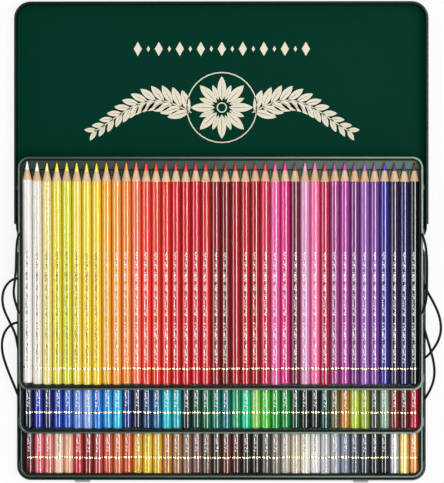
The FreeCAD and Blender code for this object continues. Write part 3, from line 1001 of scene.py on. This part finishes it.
CORD_ROUTES: dict[tuple[Tray, Side], tuple[tuple[float, float, float], ...]] = {
    (Tray.TOP, Side.LEFT): (
        (-157.0, 30.6, 8.3), (-157.0, 30.6, 11.6), (-157.5, 29.2, 15.0), (-158.2, 26.0, 16.2),
        (-158.8, 20.6, 14.6), (-159.2, 12.5, 11.8), (-159.6, 3.0, 9.4), (-160.6, -5.5, 7.0),
        (-161.7, -12.5, 4.8), (-161.5, -17.5, 6.6), (-160.2, -22.0, 11.2), (-158.6, -26.0, 15.0),
        (-157.7, -29.1, 15.4), (-157.0, -30.6, 11.6), (-157.0, -30.6, 8.3),
    ),
    (Tray.TOP, Side.RIGHT): (
        (157.0, 30.6, 8.3), (157.0, 30.6, 11.6), (157.6, 29.3, 15.0), (158.7, 26.2, 16.4),
        (160.0, 20.4, 15.0), (160.7, 12.6, 10.8), (160.9, 3.4, 8.0), (160.8, -6.0, 6.6),
        (160.7, -13.2, 5.2), (160.4, -18.6, 7.6), (159.6, -23.2, 12.2), (158.5, -26.5, 15.2),
        (157.6, -29.3, 15.4), (157.0, -30.6, 11.6), (157.0, -30.6, 8.3),
    ),
    (Tray.MIDDLE, Side.LEFT): (
        (-157.0, 30.6, 8.3), (-157.0, 30.6, 11.2), (-158.6, 30.8, 13.6), (-161.8, 30.4, 13.8),
        (-166.2, 27.4, 11.8), (-169.8, 22.0, 10.0), (-171.3, 14.4, 8.8), (-169.9, 5.8, 8.6),
        (-165.4, -3.4, 9.0), (-160.6, -13.0, 10.8), (-158.9, -21.5, 13.4), (-157.7, -28.2, 14.8),
        (-157.0, -30.6, 11.6), (-157.0, -30.6, 8.3),
    ),
    (Tray.MIDDLE, Side.RIGHT): (
        (157.0, 30.6, 8.3), (157.0, 30.6, 11.1), (157.5, 29.2, 13.6), (158.8, 25.6, 14.0),
        (161.2, 20.2, 12.2), (166.4, 11.0, 9.6), (170.6, 1.2, 8.4), (172.1, -8.4, 8.4),
        (170.4, -17.0, 9.0), (166.2, -24.2, 10.4), (162.2, -28.8, 12.6), (159.6, -31.0, 13.9),
        (157.6, -31.0, 12.9), (157.0, -30.6, 10.6), (157.0, -30.6, 8.3),
    ),
    (Tray.BOTTOM, Side.LEFT): (
        (-157.0, 30.6, 8.3), (-157.0, 30.6, 13.2), (-158.0, 30.6, 18.4), (-161.4, 30.2, 19.4),
        (-166.0, 27.8, 17.6), (-170.2, 22.4, 14.6), (-172.3, 14.8, 12.6), (-171.7, 5.6, 12.0),
        (-168.4, -4.6, 13.0), (-164.4, -14.0, 15.6), (-160.4, -23.0, 18.4), (-158.2, -28.6, 18.9),
        (-157.2, -30.2, 15.6), (-157.0, -30.6, 11.8), (-157.0, -30.6, 8.3),
    ),
    (Tray.BOTTOM, Side.RIGHT): (
        (157.0, 30.6, 8.3), (157.0, 30.6, 12.4), (157.3, 29.9, 16.8), (158.6, 26.2, 18.9),
        (160.6, 19.4, 18.6), (163.6, 9.4, 16.6), (166.2, -0.6, 14.4), (167.0, -9.8, 13.8),
        (165.2, -18.2, 15.4), (161.6, -25.4, 18.2), (158.6, -29.8, 18.9), (157.2, -30.9, 15.6),
        (157.0, -30.6, 11.9), (157.0, -30.6, 8.3),
    ),
}
CORD_LENGTHS: dict[tuple[Tray, Side], float] = {
    (Tray.BOTTOM, Side.LEFT): 91.4, (Tray.BOTTOM, Side.RIGHT): 83.1, (Tray.MIDDLE, Side.LEFT): 81.3,
    (Tray.MIDDLE, Side.RIGHT): 80.4, (Tray.TOP, Side.LEFT): 78.0, (Tray.TOP, Side.RIGHT): 78.3,
}


@dataclass
class CordLoop:
    """One lifting cord of a tray, in millimetres."""

    tray: Tray
    side: Side
    length: float
    radius: float = 1.0
    sides: int = 10
    braid_pitch: float = 2.6
    spline_steps: int = 6
    spline_order: int = 3

    def centreline(self) -> np.ndarray:
        """Runs a smooth spline along the cord's route.

        Returns:
            The spline's points, in metres.
        """
        name = f"{self.tray.value}_{self.side.value}_route"
        curve = bpy.data.curves.new(name, "CURVE")
        curve.dimensions = "3D"
        curve.resolution_u = self.spline_steps
        route = FRAMES[self.tray].place(np.array(CORD_ROUTES[self.tray, self.side]))
        spline = curve.splines.new("NURBS")
        spline.points.add(len(route) - 1)
        weighted = np.concatenate([route, np.ones((len(route), 1))], axis=1)
        spline.points.foreach_set("co", weighted.astype(np.float32).ravel())
        spline.order_u = self.spline_order
        spline.use_endpoint_u = True
        holder = bpy.data.objects.new(name, curve)
        line = bpy.data.meshes.new_from_object(holder)
        places = np.zeros(len(line.vertices) * 3, np.float32)
        line.vertices.foreach_get("co", places)
        bpy.data.objects.remove(holder)
        bpy.data.meshes.remove(line)
        return places.reshape(-1, 3).astype(float)

    def tube(self, line: np.ndarray) -> tuple[np.ndarray, np.ndarray, np.ndarray]:
        """Carries a circle along the line, square to it, with closed ends.

        The frame at each point is the tangent, X made square to it, and their cross.

        Args:
            line: the points to follow, in metres.

        Returns:
            Places, faces and a UV of turn and braid turns along for each corner.
        """
        tangent = unit(np.gradient(line, axis=0))
        across = unit(np.array([1.0, 0.0, 0.0]) - tangent * tangent[:, 0:1])
        circle = circles(tangent, across, self.sides)
        scale = np.full(len(line) + 2, self.radius * MM)
        scale[[0, -1]] = 0.0
        spine = np.concatenate([line[:1], line, line[-1:]])
        circle = np.concatenate([circle[:1], circle, circle[-1:]])
        points = spine[:, None] + circle * scale[:, None, None]
        faces = grid_faces(len(spine), self.sides, True)
        steps = np.concatenate([[0.0], np.cumsum(np.linalg.norm(np.diff(spine, axis=0), axis=1))])
        along = steps[faces // self.sides] / (self.braid_pitch * MM)
        uv = np.stack([corner_turns(faces, self.sides), along], axis=-1)
        return points.reshape(-1, 3), faces, uv.reshape(-1, 2)

    def build(self, material: bpy.types.Material) -> None:
        """Args:
            material: its finish.
        """
        node = f"{self.tray.value}_{self.side.value}_cord"
        line = self.centreline()
        points, faces, uv = self.tube(line)
        piece = make_piece(f"{node}_braided", points, faces, material, self.tray.body, ("braid", uv))
        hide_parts(node)


@dataclass
class CordKnots:
    """The four knots under one tray's lugs, in millimetres."""

    tray: Tray
    lug_x: float = 157.0
    lug_y: float = 30.6
    height: float = 7.4
    reach: float = 0.32
    rise: float = 1.4
    strand: float = 0.36
    turns: int = 60
    rows_a_weave: float = 6.0
    sides: int = 8

    def one(self) -> tuple[np.ndarray, np.ndarray, np.ndarray]:
        """Carries a circle along a trefoil: sin t + 2 sin 2t, cos t - 2 cos 2t, minus rise times sin 3t.

        Returns:
            Places round the origin, faces and a UV for each corner.
        """
        t = even_angles(self.turns)
        x, y = np.sin(t) + 2 * np.sin(2 * t), np.cos(t) - 2 * np.cos(2 * t)
        line = self.reach * np.stack([x, y, -self.rise * np.sin(3 * t)], axis=-1)
        tangent = unit(np.roll(line, -1, axis=0) - np.roll(line, 1, axis=0))
        across = unit(np.cross(tangent, np.array([0.0, 0.0, 1.0])))
        points = line[:, None] + self.strand * circles(tangent, across, self.sides)
        points = np.concatenate([points, points[:1]])
        faces = grid_faces(self.turns + 1, self.sides, True)
        uv = np.stack([faces % self.sides / self.sides, faces // self.sides / self.rows_a_weave], axis=-1)
        return points.reshape(-1, 3), faces, uv.reshape(-1, 2)

    def build(self, material: bpy.types.Material) -> None:
        """Makes the knots as one piece.

        Args:
            material: their finish.
        """
        points, faces, uv = self.one()
        places = np.array([(x * self.lug_x, y * self.lug_y, self.height) for x in (-1, 1) for y in (-1, 1)])
        every = FRAMES[self.tray].place(places[:, None] + points[None]).reshape(-1, 3)
        numbers = (faces[None] + (np.arange(len(places)) * len(points))[:, None, None]).reshape(-1, 4)
        node = f"{self.tray.value}_cord_knots"
        weave = ("braid", np.tile(uv, (len(places), 1)))
        piece = make_piece(f"{node}_tied", every, numbers, material, self.tray.body, weave)
        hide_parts(node)


@dataclass
class TrayRim:
    """A tray's rolled bead, its seam strip and a strip at the groove ends, in millimetres, in the tray's
    frame; the seam and groove-end strips are near black as painted shade.
    """

    tray: Tray
    half_x: float = 157.8
    half_y: float = 91.05
    corner: float = 8.5
    flange_top: float = 10.0
    flange_width: float = 3.0
    bead_width: float = 1.45
    bead_height: float = 0.6
    bead_depth: float = 0.3
    bead_points: int = 9
    seam_lift: float = 0.04
    seam_tuck: float = 0.1
    seam_lip: float = 0.05
    seam_depth: float = 1.2
    corner_points: int = 10
    ramp_start: float = 80.05
    ramp_foot: float = 1.13
    ramp_slope: float = 0.3226
    edge_half_x: float = 154.6
    edge_start: float = 0.05
    edge_width: float = 0.9
    edge_lift: float = 0.05
    edge_sink: float = 0.1

    def path(self) -> tuple[np.ndarray, np.ndarray]:
        """Draws a rounded rectangle: a quarter circle at each corner.

        Returns:
            Its points and their outward directions.
        """
        quarter = np.linspace(0, np.pi / 2, self.corner_points)
        angle = (quarter[None] + np.arange(4)[:, None] * np.pi / 2).reshape(-1)
        out = np.stack([np.cos(angle), np.sin(angle)], axis=-1)
        sign = np.repeat(np.array([(1, 1), (-1, 1), (-1, -1), (1, -1)]), self.corner_points, axis=0)
        centre = sign * np.array([self.half_x - self.corner, self.half_y - self.corner])
        return centre + self.corner * out, out

    def sweep(self, profile: np.ndarray) -> tuple[np.ndarray, np.ndarray]:
        """Carries a profile round the rim: each point lies its offset outwards, at its height.

        Args:
            profile: offset from the flange's edge and height, closed by its first point.

        Returns:
            Places in metres and faces.
        """
        line, out = self.path()
        flat = line[:, None] + out[:, None] * profile[None, :, 0:1]
        height = np.broadcast_to(profile[None, :, 1:2], flat.shape[:2] + (1,))
        points = np.concatenate([flat, height], axis=-1)
        points = np.concatenate([points, points[:1]])
        faces = grid_faces(len(points), len(profile), True)
        return FRAMES[self.tray].place(points).reshape(-1, 3), faces

    def groove_end_shade(self) -> tuple[np.ndarray, np.ndarray]:
        """Makes a thin strip on the foot of the ramp, near black as painted shade where the grooves end: a
        bar whose four long edges follow the slope.

        Returns:
            Places in metres and faces.
        """
        y = self.ramp_start + np.repeat([self.edge_start, self.edge_width], 2)
        rise = np.array([-self.edge_sink, self.edge_lift, self.edge_lift, -self.edge_sink])
        z = self.ramp_foot + self.ramp_slope * (y - self.ramp_start) + rise
        x = np.repeat(np.array([-1.0, -1.0, 1.0, 1.0]) * self.edge_half_x, 4)
        ring = np.stack([np.tile(y, 4), np.tile(z, 4)], axis=-1)
        ring[:4] = ring[12:] = ring[:4].mean(axis=0)
        points = np.concatenate([x[:, None], ring], axis=-1)
        return FRAMES[self.tray].place(points), grid_faces(4, 4, True)

    def build(self, plastic: bpy.types.Material, seam: bpy.types.Material) -> None:
        """Makes the bead, the seam and the line where the grooves end; the seam and the line are near black
        as painted shade.

        Args:
            plastic: the bead's finish, a lighter plastic as painted highlight.
            seam: the finish of the seam and of the groove end, near black as painted shade.
        """
        turn = np.linspace(0, np.pi, self.bead_points)
        half = self.bead_width / 2
        top = self.flange_top + self.bead_height * np.sin(turn)
        arch = np.stack([half * np.cos(turn) - half, top], axis=-1)
        under = self.flange_top - self.bead_depth
        bead = np.concatenate([arch, [(-self.bead_width, under), (0.0, under)]])
        flat = self.flange_top + self.seam_lift
        outer, inner = self.seam_tuck - self.bead_width, -self.flange_width
        lip, deep = inner - self.seam_lip, flat - self.seam_depth
        bent = flat - self.seam_tuck
        strip = np.array([(outer, flat), (inner, flat), (lip, bent), (lip, deep), (outer, deep)])
        body = self.tray.body
        # The seam strip and the groove end are drawn near black: painted shade in the gap inside the bead and
        # at the groove ends.
        for label, (points, faces), material in (
            ("bead", self.sweep(bead), plastic), ("seam", self.sweep(strip), seam),
            ("groove_end_shade", self.groove_end_shade(), seam),
        ):
            make_piece(f"{body}_{label}", points, faces, material, body)


@dataclass
class LidGarland:
    """A printed rosette with a leaf spray on each side, on the inside of the lid, in millimetres."""

    middle_y: float = 199.0
    height: float = 0.55
    stem_start: float = 24.0
    stem_reach: float = 100.0
    stem_drop: float = 4.0
    stem_swing: float = 12.0
    stem_turns: float = 1.25
    stem_fall: float = 6.0
    line_half: float = 0.42
    line_points: int = 33
    leaf_pairs: int = 12
    leaf_from: float = 0.02
    leaf_to: float = 0.98
    leaf_ahead: float = 0.01
    leaf_points: int = 11
    leaf_swell: float = 0.8
    leaf_rib: float = 0.1
    leaf_lean: tuple[float, float] = (0.75, 0.25)
    leaf_length: tuple[float, float] = (18.0, 8.5)
    leaf_half: tuple[float, float] = (3.3, 1.5)
    petals: int = 16
    long_petal: tuple[float, float, float] = (5.5, 19.0, 3.4)
    short_petal: tuple[float, float, float] = (6.5, 12.5, 2.0)
    rings: tuple[float, float] = (3.6, 27.5)
    row_y: float = 245.0
    row_reach: float = 66.0
    lozenges: int = 17
    lozenge_half: tuple[float, float] = (3.2, 5.6)
    lozenge_small: float = 0.42

    def leaf(
        self, base: np.ndarray, angle: np.ndarray, length: np.ndarray, width: np.ndarray
    ) -> tuple[np.ndarray, np.ndarray]:
        """Makes leaves split by a rib: at share s of the length, half a width times sin(pi s) to the swell.

        Args:
            base: where each leaf starts.
            angle: which way each leaf points.
            length: each leaf's length.
            width: each leaf's half width.

        Returns:
            Places in millimetres and faces.
        """
        share = np.linspace(0, 1, self.leaf_points)
        half = np.sin(np.pi * share) ** self.leaf_swell
        inner = self.leaf_rib * half * (1 - share)
        along = np.stack([share, share], axis=-1)[None] * length[:, None, None]
        turn, lean = np.cos(angle)[:, None, None], np.sin(angle)[:, None, None]
        first = np.arange(len(base))[:, None, None] * 2 * len(share)
        points, faces = [], []
        for number, side in enumerate((-1, 1)):
            out = side * np.stack([inner, half], axis=-1)[None] * width[:, None, None]
            x = base[:, 0, None, None] + along * turn - out * lean
            y = base[:, 1, None, None] + along * lean + out * turn
            points.append(np.stack([x, y, np.full_like(x, self.height)], axis=-1).reshape(-1, 3))
            quads = grid_faces(len(share), 2, False)[None, :, ::side]
            faces.append((quads + first + number * x.size).reshape(-1, 4))
        return np.concatenate(points), np.concatenate(faces)

    def stem(self, share: np.ndarray, side: int) -> np.ndarray:
        """Draws a stem: out along x, with y a swing times a sine less a fall times the share.

        Args:
            share: how far along the stem each point lies, from 0 to 1.
            side: -1 for the left stem, 1 for the right one.

        Returns:
            Its points in millimetres.
        """
        x = side * (self.stem_start + (self.stem_reach - self.stem_start) * share)
        swing = self.stem_swing * np.sin(self.stem_turns * np.pi * share)
        return np.stack([x, self.middle_y - self.stem_drop + swing - self.stem_fall * share], axis=-1)

    def sprays(self) -> tuple[np.ndarray, np.ndarray]:
        """Sets leaves along both stems: each measure falls evenly towards the ends.

        Returns:
            Places in millimetres and faces.
        """
        share = np.linspace(self.leaf_from, self.leaf_to, self.leaf_pairs)
        lean, length, half = (
            start - fall * share for start, fall in (self.leaf_lean, self.leaf_length, self.leaf_half)
        )
        base, angle = [], []
        for side in (-1, 1):
            line = self.stem(share, side)
            ahead = self.stem(share + self.leaf_ahead, side) - line
            heading = np.arctan2(ahead[:, 1], ahead[:, 0])
            base += [line, line]
            angle += [heading - lean, heading + lean]
        return self.leaf(np.concatenate(base), np.concatenate(angle), np.tile(length, 4), np.tile(half, 4))

    def rosette(self) -> tuple[np.ndarray, np.ndarray]:
        """Sets petals at even angles round the middle, long and short in turn.

        Returns:
            Places in millimetres and faces.
        """
        angle = even_angles(self.petals) + np.pi / 2
        long = np.arange(self.petals) % 2 == 0
        start, length, half = (np.where(long, *pair) for pair in zip(self.long_petal, self.short_petal))
        base = np.stack([start * np.cos(angle), self.middle_y + start * np.sin(angle)], axis=-1)
        return self.leaf(base, angle, length, half)

    def row(self) -> tuple[np.ndarray, np.ndarray]:
        """Lays a row of lozenges, every other one small: corners at half a width and half a height.

        Returns:
            Places in millimetres and faces.
        """
        x = np.linspace(-self.row_reach, self.row_reach, self.lozenges)
        size = np.where(np.arange(self.lozenges) % 2 == 0, 1.0, self.lozenge_small)[:, None]
        wide = x[:, None] + size * np.array([1.0, 0.0, -1.0, 0.0]) * self.lozenge_half[0]
        tall = self.row_y + size * np.array([0.0, 1.0, 0.0, -1.0]) * self.lozenge_half[1]
        points = np.stack([wide, tall, np.full_like(wide, self.height)], axis=-1)
        return points.reshape(-1, 3), np.arange(4 * self.lozenges).reshape(-1, 4)

    def bands(self) -> tuple[np.ndarray, np.ndarray]:
        """Draws the stems and two rings as narrow strips: a line with a half width to each side.

        Returns:
            Places in millimetres and faces.
        """
        points, faces, first = [], [], 0
        share = np.linspace(0, 1, self.line_points)
        lines = [self.stem(share, side) for side in (-1, 1)]
        turn = share * 2 * np.pi
        for radius in self.rings:
            lines.append(np.stack([radius * np.cos(turn), self.middle_y + radius * np.sin(turn)], axis=-1))
        for line in lines:
            ahead = unit(np.gradient(line, axis=0))
            off = self.line_half * np.stack([-ahead[:, 1], ahead[:, 0]], axis=-1)
            pair = np.stack([line - off, line + off], axis=1)
            level = np.full(pair.shape[:2] + (1,), self.height)
            points.append(np.concatenate([pair, level], axis=-1).reshape(-1, 3))
            faces.append(grid_faces(len(line), 2, False)[:, ::-1] + first)
            first += len(line) * 2
        return np.concatenate(points), np.concatenate(faces)

    def build(self, ink: bpy.types.Material) -> None:
        """Prints the garland on the lid.

        Args:
            ink: its finish.
        """
        points, faces, first = [], [], 0
        for made, quads in (self.sprays(), self.rosette(), self.row(), self.bands()):
            points.append(made)
            faces.append(quads + first)
            first += len(made)
        places = np.concatenate(points) * MM
        piece = make_piece("lid_garland", places, np.concatenate(faces), ink, "lid", closed=False)
        up = bmesh.new()
        up.from_mesh(piece.data)
        bmesh.ops.reverse_faces(up, faces=[face for face in up.faces if face.normal.z < 0])
        up.to_mesh(piece.data)
        up.free()


class Light(Enum):
    """What a lamp gives: even light alone or highlights alone."""

    EVEN = "even"
    HIGHLIGHTS = "highlights"


@dataclass(frozen=True)
class Lamp:
    """A soft lamp along Y: degrees from straight up towards +X, metres and watts."""

    name: str
    degrees: float
    distance: float
    width: float
    length: float
    power: float
    gives: Light

    def hang(self, y: float) -> None:
        """Hangs the lamp over the tin.

        Args:
            y: where its middle lies.
        """
        data = bpy.data.lights.new(self.name, "AREA")
        data.shape = "RECTANGLE"
        data.size = self.width
        data.size_y = self.length
        data.energy = self.power
        lamp = bpy.data.objects.new(self.name, data)
        bpy.context.scene.collection.objects.link(lamp)
        turn = math.radians(self.degrees)
        lamp.location = (self.distance * math.sin(turn), y, self.distance * math.cos(turn))
        lamp.rotation_euler = (0.0, turn, 0.0)
        lamp.visible_diffuse = self.gives is Light.EVEN
        lamp.visible_glossy = self.gives is Light.HIGHLIGHTS


@dataclass
class Studio:
    """A pale floor, an overhead lamp, two strips, a dim sky and the camera over the tin, in metres."""

    camera_height: float = 5.0
    camera_x: float = 0.14
    camera_sees: float = 100.0
    sensor: float = 36.0
    pixel: float = 0.00078
    focus_x: float = 0.00095
    focus_y: float = 0.09381
    focus_z: float = 0.03
    floor_half: float = 40.0
    floor_z: float = -0.0003
    floor_white: float = 0.95
    floor_glow: float = 0.85
    sky: float = 0.3
    lamps: tuple[Lamp, ...] = (
        Lamp(
            "overhead", degrees=8.0, distance=6.0, width=2.4, length=2.4, power=241.0,
            gives=Light.EVEN,
        ),
        Lamp(
            "right_strip", degrees=27.0, distance=1.2, width=0.3, length=1.8, power=32.0,
            gives=Light.HIGHLIGHTS,
        ),
        Lamp(
            "left_strip", degrees=-50.0, distance=1.2, width=0.3, length=1.8, power=17.5,
            gives=Light.HIGHLIGHTS,
        ),
    )

    def seen(self, graph: Graph) -> Socket:
        """Marks the rays that show the background: seen, mirrored or passing through.

        Args:
            graph: the material's graph.

        Returns:
            1 for such rays.
        """
        path = graph.add("ShaderNodeLightPath")
        mirrored = graph.math("MAXIMUM", path.outputs["Is Glossy Ray"], path.outputs["Is Transmission Ray"])
        return graph.math("MAXIMUM", path.outputs["Is Camera Ray"], mirrored)

    def build_floor(self) -> None:
        """Lays the floor, mostly white to the eye and still taking a shadow."""
        half = self.floor_half
        mesh = bpy.data.meshes.new("floor")
        corners = [(x * half, y * half, self.floor_z) for x, y in ((-1, -1), (1, -1), (1, 1), (-1, 1))]
        mesh.from_pydata(corners, [], [(0, 1, 2, 3)])
        floor = bpy.data.objects.new("floor", mesh)
        bpy.context.scene.collection.objects.link(floor)
        material = bpy.data.materials.new("pale_floor")
        material.use_nodes = True
        graph = Graph(material.node_tree)
        graph.tree.nodes.clear()
        matt = graph.add("ShaderNodeBsdfDiffuse", {"Color": (*[self.floor_white] * 3, 1.0)})
        glow = graph.add("ShaderNodeEmission", {"Strength": 1.0})
        blend = graph.add("ShaderNodeMixShader")
        graph.feed(blend.inputs[0], graph.math("MULTIPLY", self.seen(graph), self.floor_glow))
        graph.feed(blend.inputs[1], matt.outputs[0])
        graph.feed(blend.inputs[2], glow.outputs[0])
        graph.add("ShaderNodeOutputMaterial", {"Surface": blend.outputs[0]})
        mesh.materials.append(material)

    def build_sky(self) -> None:
        """Gives an even, dim white sky."""
        world = bpy.data.worlds.new("sky")
        bpy.context.scene.world = world
        world.use_nodes = True
        graph = Graph(world.node_tree)
        graph.tree.nodes.clear()
        back = graph.add("ShaderNodeBackground", {"Strength": self.sky, "Color": (1.0, 1.0, 1.0, 1.0)})
        graph.add("ShaderNodeOutputWorld", {"Surface": back.outputs[0]})

    def build_camera(self) -> None:
        """Hangs the camera above and a little to the right, far enough for almost no perspective."""
        data = bpy.data.cameras.new("camera")
        data.sensor_width = self.sensor
        long_side = max(PHOTO_WIDTH, PHOTO_HEIGHT) * self.pixel
        data.lens = self.sensor * (self.camera_height - self.focus_z) / long_side
        data.clip_end = self.camera_sees
        camera = bpy.data.objects.new("camera", data)
        bpy.context.scene.collection.objects.link(camera)
        camera.location = (self.camera_x, self.focus_y, self.camera_height)
        turn = math.atan2(self.camera_x - self.focus_x, self.camera_height - self.focus_z)
        camera.rotation_euler = (0.0, turn, 0.0)
        bpy.context.scene.camera = camera

    def build(self) -> None:
        """Sets up floor, sky, lamps and camera."""
        bpy.context.scene.view_settings.view_transform = "Standard"
        self.build_floor()
        self.build_sky()
        for lamp in self.lamps:
            lamp.hang(self.focus_y)
        self.build_camera()


class PencilTin:
    """The whole object: its finishes, and the pieces that carry them."""

    def __init__(self, nodes: dict[str, bpy.types.Object]) -> None:
        """Builds the finishes.

        Args:
            nodes: the CAD nodes by name.
        """
        self.nodes = nodes
        effects = SharedEffects()
        pencil = PencilSet(Tray.TOP, "top_pencils")
        self.outside = HardFinish("green_enamel", "#16332a", "#4a5f57", roughness=0.4).material(effects)
        # The lid's rolled rim is drawn near black: painted shade.
        self.lid_face = RimmedEnamel(
            "lid_enamel_rim_shade", "#02392b", "#0c4033", roughness=0.4, specular=0.015, cloud_spread=0.05,
            scuff_amount=0.1,
        ).material(effects)
        # The trays' plastic turns lighter towards the right: painted light.
        self.plastic = HardFinish(
            "formed_plastic_lit_right", "#293e34", "#6d8276", roughness=0.36, lit_right_colour="#566b5e"
        ).material(effects)
        # The bead is the same plastic drawn lighter, and lighter again towards the right: painted highlight.
        self.bead = HardFinish(
            "rolled_bead_painted_light", "#3c5247", "#7f9488", roughness=0.3, lit_right_colour="#8c9b8c"
        ).material(effects)
        # This finish is near black: painted shade in the gaps of the tray rims.
        self.seam = HardFinish(
            "deep_seam", "#0a1310", "#1a2722", roughness=0.7, specular=0.1
        ).material(effects)
        self.steel = HardFinish(
            "tinned_steel", "#b4b4b0", "#8c8c88", roughness=0.32, metallic=1.0
        ).material(effects)
        self.rubber = HardFinish(
            "grey_rubber", "#b3afb6", "#8d8990", roughness=0.75, specular=0.2
        ).material(effects)
        self.ink = HardFinish(
            "cream_ink", "#f3ead2", "#8fa093", roughness=0.6, specular=0.2, scuff_scale=420.0,
            scuff_amount=0.5,
        ).material(effects)
        casing = PencilFinish("lacquer_and_wood", pencil.length, pencil.lacquer_end())
        self.casing = casing.material(effects)
        self.lead = LeadFinish("pigment").material(effects)
        self.braid = BraidFinish("black_braid").material(effects)

    def dress_nodes(self) -> None:
        """Gives the tins, hinges, stops and trays their finishes."""
        finishes = {
            "base_tin": self.outside, "lid_tin": self.lid_face, "base_front_stops": self.rubber,
            "base_hinge_leaves": self.steel, "lid_hinge_leaves": self.steel, "hinge_pins": self.steel,
        }
        finishes.update({tray.body: self.plastic for tray in Tray})
        for name, material in finishes.items():
            dress(self.nodes[name], material)
            LOG.info("dressed %s", name)

    def build(self) -> None:
        """Makes the cords, knots, rims, pencils and garland."""
        self.dress_nodes()
        for (tray, side), length in CORD_LENGTHS.items():
            CordLoop(tray, side, length).build(self.braid)
        for tray in Tray:
            CordKnots(tray).build(self.braid)
            TrayRim(tray).build(self.bead, self.seam)
        for pencils in (
            PencilSet(Tray.TOP, "top_pencils", shift=-0.5, strays=((0, 1.3),), turned_over=(21,)),
            PencilSet(Tray.MIDDLE, "middle_tray", shift=-0.7, turned_over=(21,)),
            PencilSet(Tray.BOTTOM, "bottom_tray", shift=-1.55),
        ):
            pencils.build(self.casing, self.lead)
        LidGarland().build(self.ink)


def main() -> None:
    """Loads the frame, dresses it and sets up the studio."""
    logging.basicConfig(level=logging.INFO, format="%(name)s: %(message)s")
    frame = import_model()
    PencilTin(frame["nodes"]).build()
    Studio().build()
    bpy.context.view_layer.update()


if __name__ == "__main__":
    main()
